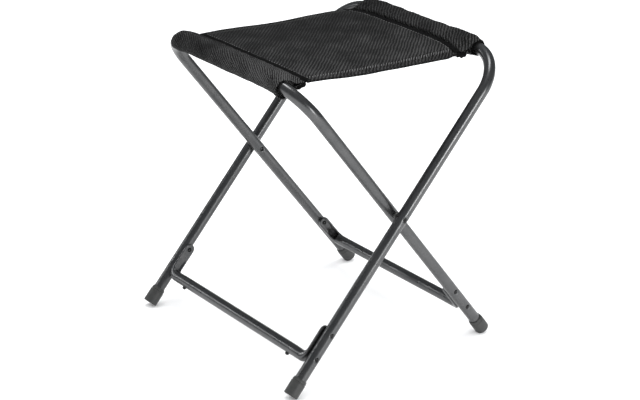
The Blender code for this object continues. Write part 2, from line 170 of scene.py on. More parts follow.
class Nodes:
    """A short way to write a material's node tree."""

    def __init__(self, name):
        self.material = bpy.data.materials.new(name)
        self.material.use_nodes = True
        self.tree = self.material.node_tree
        self.shader = self.tree.nodes["Principled BSDF"]

    def add(self, kind, **settings):
        node = self.tree.nodes.new(kind)
        for key, value in settings.items():
            setattr(node, key, value)
        return node

    def link(self, source, socket):
        self.tree.links.new(source, socket)

    def put(self, node, index, value):
        if isinstance(value, bpy.types.NodeSocket):
            self.link(value, node.inputs[index])
        else:
            node.inputs[index].default_value = value

    def math(self, operation, a, b=0.0, c=0.0):
        node = self.add("ShaderNodeMath", operation=operation)
        for index, value in enumerate((a, b, c)):
            self.put(node, index, value)
        return node.outputs[0]

    def noise(self, vector, scale, detail=2.0, roughness=0.5):
        node = self.add("ShaderNodeTexNoise")
        self.link(vector, node.inputs["Vector"])
        node.inputs["Scale"].default_value = scale
        node.inputs["Detail"].default_value = detail
        node.inputs["Roughness"].default_value = roughness
        return node.outputs["Fac"]

    def sway(self, noise, amount, onto=0.0):
        """Adds a noise, centred on nought and multiplied by an amount, onto a value."""
        return self.math("MULTIPLY_ADD", self.math("SUBTRACT", noise, 0.5), amount, onto)

    def sine(self, position, pitch):
        return self.math("SINE", self.math("MULTIPLY", position, 2 * math.pi / pitch))

    def ramp(self, value, stops):
        """A smooth change through (position, colour) stops."""
        node = self.add("ShaderNodeValToRGB")
        elements = node.color_ramp.elements
        for element, (position, colour) in zip(elements, (stops[0], stops[-1])):
            element.position = position
            element.color = (*colour, 1)
        for position, colour in stops[1:-1]:
            elements.new(position).color = (*colour, 1)
        self.link(value, node.inputs[0])
        return node.outputs[0]

    def span(self, value, out_low, out_high, low=0.3, high=0.7):
        """Maps low..high, by default the range in which most of a noise lies, to out_low..out_high."""
        node = self.add("ShaderNodeMapRange")
        for index, part in enumerate((value, low, high, out_low, out_high)):
            self.put(node, index, part)
        return node.outputs[0]

    def bump(self, height, distance, strength):
        node = self.add("ShaderNodeBump")
        self.link(height, node.inputs["Height"])
        node.inputs["Distance"].default_value = distance
        node.inputs["Strength"].default_value = strength
        self.link(node.outputs[0], self.shader.inputs["Normal"])

    def object_point(self):
        return self.add("ShaderNodeTexCoord").outputs["Object"]

    def set(self, **values):
        for key, value in values.items():
            self.put(self.shader, key.replace("_", " "), value)
        return self.material


def grey(value, tint=(1.0, 1.0, 1.0)):
    return tuple(value * part for part in tint)


# ---------------------------------------------------------------- materials

def paint_material(name, tone):
    """Satin anthracite powder coat: dark, metal-like gloss, orange peel and faint rub marks."""
    n = Nodes(name)
    point = n.object_point()
    cloud = n.noise(point, scale=38.0, detail=4.0)
    dark, pale = grey(tone * 0.90, (0.98, 1.0, 1.02)), grey(tone * 1.10, (1.0, 1.0, 1.01))
    rubs = n.noise(point, scale=160.0, detail=3.0)
    peel = n.noise(point, scale=900.0)
    n.bump(peel, distance=0.00006, strength=0.55)
    return n.set(Base_Color=n.ramp(cloud, [(0.3, dark), (0.7, pale)]), Roughness=n.span(rubs, 0.26, 0.34),
                 Metallic=0.92)


def plastic_material(name, tone, rough_low, rough_high):
    """Moulded plastic with a fine spark-eroded grain and slightly scuffed tone."""
    n = Nodes(name)
    point = n.object_point()
    scuff = n.noise(point, scale=120.0, detail=5.0, roughness=0.65)
    grain = n.noise(point, scale=1500.0)
    dark, pale = grey(tone * 0.85, (0.97, 1.0, 0.96)), grey(tone * 1.25, (1.0, 1.0, 0.97))
    n.bump(grain, distance=0.00008, strength=0.6)
    return n.set(Base_Color=n.ramp(scuff, [(0.35, dark), (0.75, pale)]),
                 Roughness=n.span(scuff, rough_low, rough_high))


def zinc_material(name, tone):
    """Blackened rivet metal, paler and glossier where it is rubbed."""
    n = Nodes(name)
    point = n.object_point()
    worn = n.noise(point, scale=420.0, detail=3.0)
    grain = n.noise(point, scale=1800.0, detail=1.0)
    n.bump(grain, distance=0.00004, strength=0.5)
    return n.set(Base_Color=n.ramp(worn, [(0.35, grey(tone * 0.3)), (0.75, grey(tone))]),
                 Roughness=n.span(worn, 0.30, 0.14), Metallic=0.95)


def cloth_material(name, valley, ridge, speck, twill_depth, front_gain):
    """Black ribbed cloth: a 45 degree twill of thick yarns, crossed by a finer weave, with pale flecks.

    Its pale parts gain by front_gain toward the seat's front: a painted gradient of light, for the better lit
    front.
    """
    knot_pitch, yarn_pitch = 0.0026, 0.0011
    n = Nodes(name)
    uv = n.add("ShaderNodeUVMap", uv_map="cloth").outputs[0]
    split = n.add("ShaderNodeSeparateXYZ")
    n.link(uv, split.inputs[0])
    x, y = split.outputs[0], split.outputs[1]
    slow_wander = n.sway(n.noise(uv, scale=55.0), 0.0042)
    wander = n.sway(n.noise(uv, scale=260.0), 0.0022, slow_wander)
    across = n.math("MULTIPLY", n.math("SUBTRACT", x, y), math.sqrt(0.5))
    along = n.math("MULTIPLY", n.math("ADD", x, y), math.sqrt(0.5))
    rib = n.math("MULTIPLY_ADD", n.sine(n.math("ADD", across, wander), TWILL_PITCH), 0.5, 0.5)
    half_step = n.math("MULTIPLY", n.math("FLOOR", n.math("DIVIDE", across, TWILL_PITCH)), 0.5)
    knot = n.sine(n.math("MULTIPLY_ADD", half_step, knot_pitch, along), knot_pitch)
    knot = n.math("MULTIPLY_ADD", knot, 0.5, 0.5)
    yarn = n.math("MULTIPLY", n.sine(x, yarn_pitch), n.sine(y, yarn_pitch))
    fleck = n.noise(uv, scale=620.0, roughness=0.7)
    grain = n.noise(uv, scale=1300.0, detail=1.0, roughness=0.6)
    patch = n.noise(uv, scale=24.0, detail=3.0)
    light = n.math("MULTIPLY", rib, n.math("MULTIPLY_ADD", knot, 0.35, 0.45))
    for noise, amount in ((fleck, 1.9), (grain, 1.2), (patch, 1.0)):
        light = n.sway(noise, amount, light)
    # painted light: the cloth's pale parts are drawn brighter toward the seat's front
    painted_front_light = n.math("ADD", n.span(y, 0.0, front_gain, low=0.08, high=-0.12), 1.0)
    light = n.math("MULTIPLY", light, painted_front_light)
    height = n.math("MULTIPLY_ADD", yarn, 0.10, n.math("MULTIPLY_ADD", knot, 0.22, rib))
    n.bump(height, distance=twill_depth, strength=0.9)
    return n.set(Base_Color=n.ramp(light, [(0.0, grey(valley)), (0.55, grey(ridge)), (1.0, grey(speck))]),
                 Roughness=n.span(fleck, 0.78, 0.95), Specular_IOR_Level=0.13, Sheen_Weight=0.02,
                 Sheen_Roughness=0.45, Sheen_Tint=(0.8, 0.8, 0.8, 1))


def fuzz_material(name, low, high):
    """Matt black overlocked edge and gathered cloth."""
    n = Nodes(name)
    fibre = n.noise(n.object_point(), scale=700.0, detail=4.0, roughness=0.7)
    n.bump(fibre, distance=0.0005, strength=0.8)
    return n.set(Base_Color=n.ramp(fibre, [(0.4, grey(low)), (0.72, grey(high))]), Roughness=0.95,
                 Specular_IOR_Level=0.08)


def thread_material(name, low, high):
    """Twisted polyester thread."""
    n = Nodes(name)
    twist = n.noise(n.object_point(), scale=1400.0)
    n.bump(twist, distance=0.0002, strength=0.7)
    return n.set(Base_Color=n.ramp(twist, [(0.3, grey(low)), (0.7, grey(high))]), Roughness=0.6,
                 Sheen_Weight=0.2)


def floor_material():
    n = Nodes("studio_floor")
    cloud = n.noise(n.object_point(), scale=3.0)
    return n.set(Base_Color=n.ramp(cloud, [(0.3, grey(0.90)), (0.7, grey(0.92))]), Roughness=0.9)


# ---------------------------------------------------------------- mesh helpers

def skin(name, rings, capped=True, uv=None):
    """A quad skin over rings of points. Its uv has one column more than a ring has points."""
    rings = np.asarray(rings, float)
    count, wide = rings.shape[:2]
    faces, face_uv = [], []
    for i in range(count - 1):
        for k in range(wide):
            m = (k + 1) % wide
            faces.append((i * wide + k, i * wide + m, (i + 1) * wide + m, (i + 1) * wide + k))
            if uv is not None:
                face_uv += [uv[i, k], uv[i, k + 1], uv[i + 1, k + 1], uv[i + 1, k]]
    if capped:
        faces.append(tuple(range(wide - 1, -1, -1)))
        faces.append(tuple((count - 1) * wide + k for k in range(wide)))
        if uv is not None:
            face_uv += [uv[0, k] for k in range(wide - 1, -1, -1)]
            face_uv += [uv[-1, k] for k in range(wide)]
    return mesh_object(name, rings.reshape(-1, 3).tolist(), faces, face_uv)


def mesh_object(name, points, faces, face_uv=()):
    """A smooth-shaded mesh with its faces turned out and, if given, one UV for each face corner."""
    mesh = bpy.data.meshes.new(name)
    mesh.from_pydata(points, [], faces)
    if len(face_uv):
        layer = mesh.uv_layers.new(name="cloth")
        layer.data.foreach_set("uv", np.asarray(face_uv, np.float32).ravel())
    work = bmesh.new()
    work.from_mesh(mesh)
    bmesh.ops.recalc_face_normals(work, faces=work.faces)
    work.to_mesh(mesh)
    work.free()
    mesh.shade_smooth()
    mesh.set_sharp_from_angle(angle=math.radians(40))
    obj = bpy.data.objects.new(name, mesh)
    bpy.context.scene.collection.objects.link(obj)
    return obj


def show(obj, body, material, slot, *nodes):
    """Gives a piece its material and body, and hides the CAD nodes that it stands for. Its slot is not used.
    """
    obj.data.materials.clear()
    obj.data.materials.append(material)
    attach(obj, body)
    if nodes:
        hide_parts(*nodes)
    return obj


def smooth(value):
    """Nought below 0, one above 1, and a smooth step between."""
    value = np.clip(value, 0.0, 1.0)
    return value * value * (3 - 2 * value)


def ring_turns(sides):
    return np.arange(sides) * 2 * math.pi / sides


def moved(points, matrix):
    m = np.array(matrix)
    return points @ m[:3, :3].T + m[:3, 3]


def lathe(name, profile, matrix, sides, floor=False):
    """A turned piece from (radius, height) points, placed by a matrix whose z is its axis."""
    turn = ring_turns(sides)
    rows = [np.stack([radius * np.cos(turn), radius * np.sin(turn), np.full(sides, height)], 1)
            for radius, height in profile]
    rows = moved(np.array(rows), matrix)
    if floor:
        rows[..., 2] = np.maximum(rows[..., 2], 0.0)
    return skin(name, rows)


def rounded(points, radius, steps=3):
    """A profile with its corners rounded, apart from its two ends."""
    made = [points[0]]
    for before, here, after in zip(points, points[1:], points[2:]):
        before, here, after = Vector(before), Vector(here), Vector(after)
        reach = min(radius, (before - here).length * 0.45, (after - here).length * 0.45)
        start = here + (before - here).normalized() * reach
        stop = here + (after - here).normalized() * reach
        for k in range(steps + 1):
            t = k / steps
            made.append(tuple(start * (1 - t) ** 2 + here * 2 * t * (1 - t) + stop * t * t))
    return made + [points[-1]]


# ---------------------------------------------------------------- frames

class Frame:
    """One leaning frame. In its own space z runs up the leg from the pivot and y along the bar."""

    def __init__(self, name, feet_side, half_y):
        self.name = name
        self.half_y = half_y
        self.tab_y = half_y - TUBE_R - FIT_GAP
        self.matrix = Matrix.Translation(PIVOT) @ Matrix.Rotation(-feet_side * LEAN, 4, "Y")

    def world(self, points):
        return moved(np.asarray(points, float), self.matrix)

    def leg_at(self, y, s):
        """A matrix at a leg's centre line whose z points up the leg."""
        return self.matrix @ Matrix.Translation((0, y, s - PIVOT_S))

    def axis_at(self, y, s, end):
        """A matrix at a leg's centre line whose z points out along Y."""
        return self.leg_at(y, s) @ Matrix.Rotation(-end * math.pi / 2, 4, "X")


def u_path(half_y, low_s):
    """Points (y, s) and directions down the middle of a U-bent tube, close together at its rivets."""
    at_dimple, at_bend = 17, 25
    bend_s = LEG_LENGTH - BEND_R
    stations = set(np.round(np.arange(low_s, bend_s, TUBE_STEP), 5))
    for s in (*RIVET_S.values(), PIVOT_S):
        stations |= set(np.round(np.linspace(s - DIMPLE_SPAN, s + DIMPLE_SPAN, at_dimple), 5))
    path = [(-half_y, s, 0.0, 1.0) for s in sorted(stations) if s < bend_s]
    for turn in np.linspace(0, math.pi / 2, at_bend):
        y = -half_y + BEND_R * (1 - math.cos(turn))
        path.append((y, LEG_LENGTH - BEND_R * (1 - math.sin(turn)), math.sin(turn), math.cos(turn)))
    short_of_middle = -0.001
    bar_ys = np.arange(-half_y + BEND_R + TUBE_STEP, short_of_middle, TUBE_STEP)
    path += [(y, LEG_LENGTH, 1.0, 0.0) for y in (*bar_ys, 0.0)]
    return path + [(-y, s, ty, -ts) for y, s, ty, ts in reversed(path[:-1])]


def tube(frame_part, body, material):
    """The bent tube, pressed in round each rivet's head and ring."""
    turn = ring_turns(TUBE_SIDES)
    rows = []
    for y, s, ty, ts in u_path(frame_part.half_y, CAP_START_S + CAP_FLOOR):
        radius = np.full(TUBE_SIDES, TUBE_R)
        if ty == 0.0:
            for centre in (*RIVET_S.values(), PIVOT_S):
                for toward in (0.0, math.pi):
                    arc = TUBE_R * np.abs((turn - toward + math.pi) % (2 * math.pi) - math.pi)
                    past_floor = (np.hypot(arc, s - centre) - DIMPLE_FLOOR_R) / (DIMPLE_R - DIMPLE_FLOOR_R)
                    radius -= DIMPLE_DEPTH * (1 - smooth(past_floor))
        out = radius * np.cos(turn)
        rows.append(np.stack([radius * np.sin(turn), y - ts * out, s - PIVOT_S + ty * out], 1))
    obj = skin("tube_" + body, frame_part.world(rows))
    return show(obj, body, material, "frame_paint", frame_part.name + "_tube")


def brace_rows(frame_part):
    """Sections out to one leg and up it: (y, s, across_y, across_s, half thick, half wide, power, valley)."""
    out_y = frame_part.tab_y
    flatten_y = out_y - FLATTEN_START
    rows = [(y, BRACE_S, 0.0, 1.0, BRACE_R, BRACE_R, ROUND, 0.0) for y in np.linspace(0.0, flatten_y, 12)]
    thinner, wider, squarer = 0.0003, 0.0002, 0.3
    for share in np.linspace(0.1, 1.0, 6):
        rows.append((flatten_y + FLATTEN_LENGTH * share, BRACE_S - thinner * share, 0.0, 1.0,
                     BRACE_R - thinner * share, BRACE_R + wider * share, ROUND + squarer * share, 0.0))

    elbow_steps, elbow_power = 18, 2.4
    valley_from, valley_over = 0.34, 0.20
    elbow_top_s = BRACE_S - BRACE_R + ELBOW_DROP
    for k in range(1, elbow_steps + 1):
        share = k / elbow_steps
        turn = math.pi / 2 * share
        outside = Vector((ELBOW_RUN * math.sin(turn), -ELBOW_DROP * math.cos(turn)))
        inside = Vector(((ELBOW_RUN - TAB_THICK) * math.sin(turn), -ELBOW_INSIDE_DROP * math.cos(turn)))
        across = (inside - outside).normalized()
        middle = (outside + inside) / 2 + Vector((out_y - ELBOW_RUN, elbow_top_s))
        half_thick = (outside - inside).length / 2
        wide = BRACE_R + (TAB_HALF_WIDTH - BRACE_R) * share
        valley = max(0.0, 2 * half_thick - TAB_WALL) * float(smooth((share - valley_from) / valley_over))
        power = elbow_power + (SQUARE - elbow_power) * share
        rows.append((*middle, *across, half_thick, wide, power, valley))

    tab_y = out_y - TAB_THICK / 2
    tab_depth = TAB_THICK - TAB_WALL
    fade_from, fade_over = 0.004, 0.016
    round_s = TAB_TOP_S - TAB_HALF_WIDTH
    for s in np.linspace(elbow_top_s + 0.0015, round_s, 14):
        fade = float(smooth((s - elbow_top_s - fade_from) / fade_over))
        depth = tab_depth * (1 - (1 - VALLEY_LEFT) * fade)
        rows.append((tab_y, s, -1.0, 0.0, TAB_THICK / 2, TAB_HALF_WIDTH, SQUARE, depth))

    tip_steps, tip_turn = 8, math.radians(84)
    for k in range(1, tip_steps + 1):
        turn = tip_turn * k / tip_steps
        close = math.cos(turn)
        depth = VALLEY_LEFT * tab_depth * float(smooth((close - 0.1) / 0.5))
        rows.append((tab_y, round_s + TAB_HALF_WIDTH * math.sin(turn), -1.0, 0.0, TAB_THICK / 2,
                     TAB_HALF_WIDTH * close, SQUARE, depth))
    return rows


def channel_ring(y, s, across_y, across_s, half_thick, half_wide, power, valley):
    """A section from round to a channel, whose front face is pressed in by the valley's depth."""
    turn = ring_turns(72)
    c, w = np.cos(turn), np.sin(turn)
    thick = half_thick * np.sign(c) * np.abs(c) ** (2 / power)
    wide = half_wide * np.sign(w) * np.abs(w) ** (2 / power)
    floor_share, wall_share, lip = 0.46, 0.34, 0.15
    press = 1 - smooth((np.abs(wide) / half_wide - floor_share) / wall_share)
    thick = np.where(c > 0, thick - valley * press * smooth(c / lip), thick)
    return np.stack([wide, y + across_y * thick, s - PIVOT_S + across_s * thick], 1)


def brace(frame_part, body, material):
    half = brace_rows(frame_part)
    other = [(-y, s, -ay, a_s, h, w, p, v) for y, s, ay, a_s, h, w, p, v in reversed(half[1:])]
    rows = [channel_ring(*row) for row in other + half]
    obj = skin("brace_" + body, frame_part.world(rows))
    return show(obj, body, material, "frame_paint", frame_part.name + "_brace")


def foot_cap(frame_part, body, end, where, material):
    """A moulded cup with a parting groove, a tapered lip and a softly rounded sole."""
    groove_r = CAP_R - 0.0008
    bore_r = TUBE_R + 0.0002
    lip_r = TUBE_R + 0.0010
    outline = [(AXIS_R, 0.0), (CAP_R - 0.0010, 0.0), (CAP_R, 0.0012), (CAP_R, 0.0222), (groove_r, 0.0228),
               (groove_r, 0.0236), (CAP_R - 0.0001, 0.0240), (lip_r, CAP_LENGTH),
               (bore_r, CAP_LENGTH - 0.0003), (bore_r, 0.0060), (AXIS_R, 0.0055)]
    at = frame_part.leg_at(end * frame_part.half_y, CAP_START_S)
    obj = lathe(f"cap_{body}_{where}", rounded(outline, 0.0006), at, sides=64, floor=True)
    return show(obj, body, material, "cap_plastic", f"{frame_part.name}_cap_{where}")


def rivet(name, node, frame_part, body, end, s, head_y, ring_y, shank_r, material):
    """A half-tubular rivet: a low domed head outside and a rolled ring with its hole inside."""
    rim_r = shank_r + 0.0014
    bore_r, bore_depth, roll_height = 0.0012, 0.0030, 0.0011
    rim_height, dome_height, rim_under = 0.0002, 0.0012, -0.0008
    ring_height = ring_y - head_y
    profile = [(AXIS_R, rim_height + dome_height)]
    for k in range(1, 9):
        turn = math.pi / 2 * k / 8
        profile.append((rim_r * math.sin(turn), rim_height + dome_height * math.cos(turn)))
    profile += [(rim_r - 0.0002, rim_under + 0.0002), (shank_r, rim_under), (shank_r, ring_height)]
    roll_middle, roll_reach = (rim_r + bore_r) / 2, (rim_r - bore_r) / 2
    for k in range(9):
        turn = math.pi * k / 8
        radius = roll_middle + roll_reach * math.cos(turn)
        profile.append((radius, ring_height - roll_height * math.sin(turn)))
    profile += [(bore_r, ring_height + bore_depth), (AXIS_R, ring_height + bore_depth)]
    obj = lathe(name, profile, frame_part.axis_at(end * head_y, s, end), sides=32)
    return show(obj, body, material, "rivet_zinc", node)


def washer(where, end, material):
    """The spacer between the two tubes at a crossing, whose faces reach into their hollows."""
    into_hollow = 0.0007
    half = (OUTER_Y - INNER_Y - 2 * TUBE_R) / 2 + into_hollow
    face_r, waist_r = 0.0058, 0.0066
    outline = [(AXIS_R, half), (face_r, half), (waist_r, 0.0), (face_r, -half), (AXIS_R, -half)]
    at = outer.axis_at(end * (INNER_Y + OUTER_Y) / 2, PIVOT_S, end)
    obj = lathe("washer_" + where, rounded(outline, 0.0005), at, sides=40)
    return show(obj, "outer_frame", material, "washer_nylon", "pivot_washer_" + where)


def plug(where, material):
    """The rubber nub under the outer frame's brace."""
    low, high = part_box("brace_plug_" + where)
    outline = [(AXIS_R, 0.0020), (0.0030, 0.0020), (0.0032, 0.0), (0.0030, -0.0018), (0.0020, -0.0031),
               (AXIS_R, -0.0036)]
    at = outer.leg_at((low.y + high.y) / 2, BRACE_S - BRACE_R)
    obj = lathe("plug_" + where, rounded(outline, 0.0006), at, sides=32)
    return show(obj, "outer_frame", material, "plug_rubber", "brace_plug_" + where)


# ---------------------------------------------------------------- seat

def bend_drop(hand, y):
    """How far the bent tube's centre has come down its frame's plane at this y."""
    half_y = OUTER_Y if hand > 0 else INNER_Y
    past = max(0.0, abs(y) - (half_y - BEND_R))
    return BEND_R - math.sqrt(BEND_R**2 - past**2)


def away_from_ends(y):
    """One along most of a seam and nought where the hems hold its ends down."""
    return 1 - np.abs(np.clip(y / HEM_OUTER, -1, 1)) ** 5


def seam_rise(hand, y):
    """How far a seam lies above the bars' centres, lifted by the foam."""
    return SEAM_RISE[hand] * away_from_ends(y) + SEAM_END_W


def seam_shift(hand, y):
    """How far a seam is drawn toward its bar."""
    return SEAM_SHIFT[hand] * away_from_ends(y)


def seam_x(hand, y):
    """Where the panel begins, beside its seam."""
    return hand * (BAR_X - PANEL_U + seam_shift(hand, y))


def panel_share(u):
    """Nought at the panel's seam and one at the seat's middle."""
    return np.clip((u - PANEL_U) / (BAR_X - PANEL_U), 0, 1)


def sag(u, y):
    """How far the panel hangs below the bars."""
    front = 0.5 - 0.5 * y / HEM_OUTER
    return (SAG_BACK + (SAG_FRONT - SAG_BACK) * front) * (1 - (1 - panel_share(u)) ** 2)


def waves(y, seed, count, shortest, longest):
    """A smooth irregular wave along y: sines of random length and phase, about 1 high."""
    local = np.random.default_rng(seed)
    total = np.zeros_like(y)
    for _ in range(count):
        length = local.uniform(shortest, longest)
        total += np.sin(2 * math.pi * y / length + local.uniform(0, 2 * math.pi)) / math.sqrt(count)
    return total


def even_hull(circles, columns):
    """Evenly spaced points round the outline that wraps some circles (u, w, radius)."""
    turn = np.linspace(0.0, 2 * math.pi, 361)[:-1]
    du, dw = np.cos(turn), np.sin(turn)
    reach = np.array([u * du + w * dw + r for u, w, r in circles])
    centre = np.array(circles)[reach.argmax(0)]
    ring = np.stack([centre[:, 0] + centre[:, 2] * du, centre[:, 1] + centre[:, 2] * dw], 1)
    ring = np.concatenate([ring, ring[:1]])
    along = np.concatenate([[0], np.cumsum(np.linalg.norm(np.diff(ring, axis=0), axis=1))])
    at = np.linspace(0, along[-1], columns + 1)[:-1]
    return np.stack([np.interp(at, along, ring[:, 0]), np.interp(at, along, ring[:, 1])], 1)


def sleeve_loop(hand, y, columns):
    """The cover's section at y as (u, w) points, from the seam over the bar and back below it."""
    ends = float(smooth((abs(y) - NARROW_FROM) / (SLEEVE_HALF - NARROW_FROM)))
    corner = (hand, 1 if y > 0 else -1)
    slack = END_SLACK[corner] * ends
    drop = bend_drop(hand, y)
    steep = (BEND_R - drop) / BEND_R
    snug = TUBE_R / steep + 0.0004 + CLOTH
    end_r = SLEEVE_R + (snug - SLEEVE_R) * END_SNUG[corner]
    bar_u, bar_w = drop * math.sin(LEAN) - slack, -drop * math.cos(LEAN) - 0.5 * slack
    tip_u = SLEEVE_TIP[0] - (float(seam_shift(hand, y)) + SEAM_OPEN[hand])
    tip_w = SLEEVE_TIP[1] + float(seam_rise(hand, y))
    tip_r = SLEEVE_TIP[2] - 0.0010 * ends
    loop = even_hull([(bar_u, bar_w, SLEEVE_R + (end_r - SLEEVE_R) * ends + slack), (tip_u, tip_w, tip_r)],
                     columns)

    bulge_above, bulge_below, side_blend = 0.0010, 0.0006, 0.002
    share = np.clip(loop[:, 0] / tip_u, 0, 1)
    middle_w = bar_w + (tip_w - bar_w) * share
    above = smooth((loop[:, 1] - middle_w) / side_blend)
    below = smooth((middle_w - loop[:, 1]) / side_blend)
    loop[:, 1] += (bulge_above * above - bulge_below * below) * np.sin(math.pi * share) * (1 - ends)

    crown_over, crown_lost = 0.012, 0.6
    over_bar = smooth((loop[:, 1] - bar_w) / crown_over)
    loop[:, 1] += CROWN[hand] * over_bar * (1 - crown_lost * ends)

    pinch_from, pinch_over, pinch_most = 0.013, 0.012, 0.5
    pinch = ends * smooth((loop[:, 0] - pinch_from) / pinch_over) * pinch_most
    loop[:, 1] += (middle_w - loop[:, 1]) * pinch
    return loop


def outward(loop):
    """The outward directions of a closed loop's points."""
    ahead = np.roll(loop, -1, 0) - np.roll(loop, 1, 0)
    normal = np.stack([ahead[:, 1], -ahead[:, 0]], 1)
    return normal / np.linalg.norm(normal, axis=1)[:, None]


def sleeve(hand, label):
    """The padded sleeve: cloth rolled round foam and bar, gathered at the seam and hemmed at both ends."""
    columns, stations = 96, 136
    gather_height, gather_reach, drift_height, calm_reach = 0.0007, 0.014, 0.00025, 0.012
    hem_in, hem_groove, hem_groove_half = 0.0085, 0.0005, 0.0013
    rolled_edge = ((0.0003, 0.0005), (0.0008, 0.0006), (0.0012, 0.0002), (0.0013, -0.0060))
    end_y = SLEEVE_HALF + 0.0006
    ys = np.linspace(-end_y, end_y, stations)
    gather = waves(ys, 11 + hand, 7, 0.009, 0.022)
    drift = waves(ys, 21 + hand, 5, 0.030, 0.080)
    sections = []
    for i, y in enumerate(ys):
        loop = sleeve_loop(hand, y, columns)
        step = np.linalg.norm(np.diff(np.concatenate([loop, loop[:1]]), axis=0), axis=1)
        along = np.concatenate([[0], np.cumsum(step)])
        near_seam = np.exp(-np.minimum(along[:-1], along[-1] - along[:-1]) / gather_reach)
        soft = float(smooth((SLEEVE_HALF - abs(y)) / calm_reach))
        groove = -hem_groove * math.exp(-((abs(y) - (SLEEVE_HALF - hem_in)) / hem_groove_half) ** 2)
        lift = gather_height * gather[i] * near_seam * soft + drift_height * drift[i] * soft + groove
        sections.append((loop + outward(loop) * lift[:, None], y, along))
    for side in (0, -1):
        loop, y, along = sections[side]
        end = math.copysign(1.0, y)
        rolled = [(loop - outward(loop) * depth, y + end * out, along) for depth, out in rolled_edge]
        sections = rolled[::-1] + sections if side == 0 else sections + rolled
    rows = [np.stack([hand * (BAR_X - loop[:, 0]), np.full(columns, y), BAR_Z + loop[:, 1]], 1)
            for loop, y, along in sections]
    uv = [np.stack([hand * (BAR_X - BINDING_U + along), y + TWIST[hand] * along], 1)
          for loop, y, along in sections]
    return skin("sleeve_" + label, rows, uv=np.array(uv))


def puff(obj, hold, most):
    """Fills a padded piece with air against its own cloth, then keeps each point within most of its place."""
    group = obj.vertex_groups.new(name="hold")
    start = np.array([v.co for v in obj.data.vertices])
    for index, weight in enumerate(hold(start)):
        if weight > 0:
            group.add([index], float(weight), "REPLACE")
    cloth = obj.modifiers.new("cloth", "CLOTH")
    settings = cloth.settings
    settings.vertex_group_mass = "hold"
    settings.mass = 0.15
    settings.use_pressure = True
    settings.uniform_pressure_force = 2.5
    settings.tension_stiffness = 40
    settings.compression_stiffness = 40
    settings.bending_stiffness = 0.4
    settings.shrink_min = -0.035
    settings.effector_weights.gravity = 0
    scene = bpy.context.scene
    for number in range(1, PUFF_FRAMES + 1):
        scene.frame_set(number)
    seen = obj.evaluated_get(bpy.context.evaluated_depsgraph_get())
    ended = np.array([v.co for v in seen.data.vertices])
    obj.modifiers.remove(cloth)
    obj.vertex_groups.remove(group)
    move = ended - start
    length = np.linalg.norm(move, axis=1)
    move *= (most * np.tanh(length / most) / np.maximum(length, 1e-9))[:, None]
    obj.data.vertices.foreach_set("co", (start + move).astype(np.float32).ravel())
    obj.data.update()
    scene.frame_set(1)


def sleeve_hold(points):
    """Holds a sleeve at its seam and where its hems grip the bar."""
    u = BAR_X - np.abs(points[:, 0])
    at_seam = smooth((u - 0.026) / 0.008)
    at_ends = smooth((np.abs(points[:, 1]) - 0.118) / 0.014)
    return np.maximum(at_seam, at_ends)


def ripple(x, y):
    """The panel's own slight unevenness, the same on both sides of the middle."""
    total = 0.0
    parts = ((0.00022, 61, 33, 0.4), (0.00018, 37, -71, 2.1), (0.00012, 120, 45, 1.3))
    for height, x_rate, y_rate, phase in parts:
        total = total + height * np.sin(x * x_rate + y * y_rate + phase)
    return total


def hem_curl(x, y, inset):
    """How far the front hem curls down, less toward the left and at the seams."""
    front = np.where(y < 0, HEM_CURL, 0.0)
    at_stitches = smooth((STITCH_IN + 0.0040 - inset) / 0.0080)
    turned = 0.62 * at_stitches + 0.38 * smooth((STITCH_IN - inset) / STITCH_IN)
    by_side = 0.25 + 0.8 * smooth((x + 0.14) / 0.12) + 0.25 * smooth(x / 0.13)
    off_seam = smooth((BAR_X - np.abs(x) - PANEL_U) / 0.03 + 0.35)
    return front * turned * by_side * off_seam


def panel_top(x, y):
    """The height of the panel's upper side, and half its thickness."""
    hand = 1 if np.mean(x) > 0 else -1
    u = BAR_X - np.abs(x)
    inset = HEM_OUTER - np.abs(y)
    cloth_half, hem_more, pucker_pitch = 0.00115, 0.00055, 0.0065
    half = cloth_half + hem_more * (1 - smooth((inset - 0.006) / 0.008))
    groove = 0.00035 * np.exp(-((inset - STITCH_IN) / 0.0020) ** 2)
    in_hem = np.exp(-((inset - STITCH_IN + 0.004) / 0.006) ** 2)
    pucker = 0.00022 * np.sin(2 * math.pi * x / pucker_pitch) * in_hem
    seam_dip = 0.0008 * np.exp(-np.maximum(u - PANEL_U, 0) / 0.004)
    rise = seam_rise(hand, y) * (1 - panel_share(u)) ** 2.5 - hem_curl(x, y, inset)
    lift = rise + half - sag(u, y) - groove + pucker + ripple(x, y) - seam_dip
    over = np.maximum(lift - FOLD_CLEAR, 0.0) * (1 - smooth(np.abs(x) / FOLD_REACH))
    return BAR_Z + lift - over, half


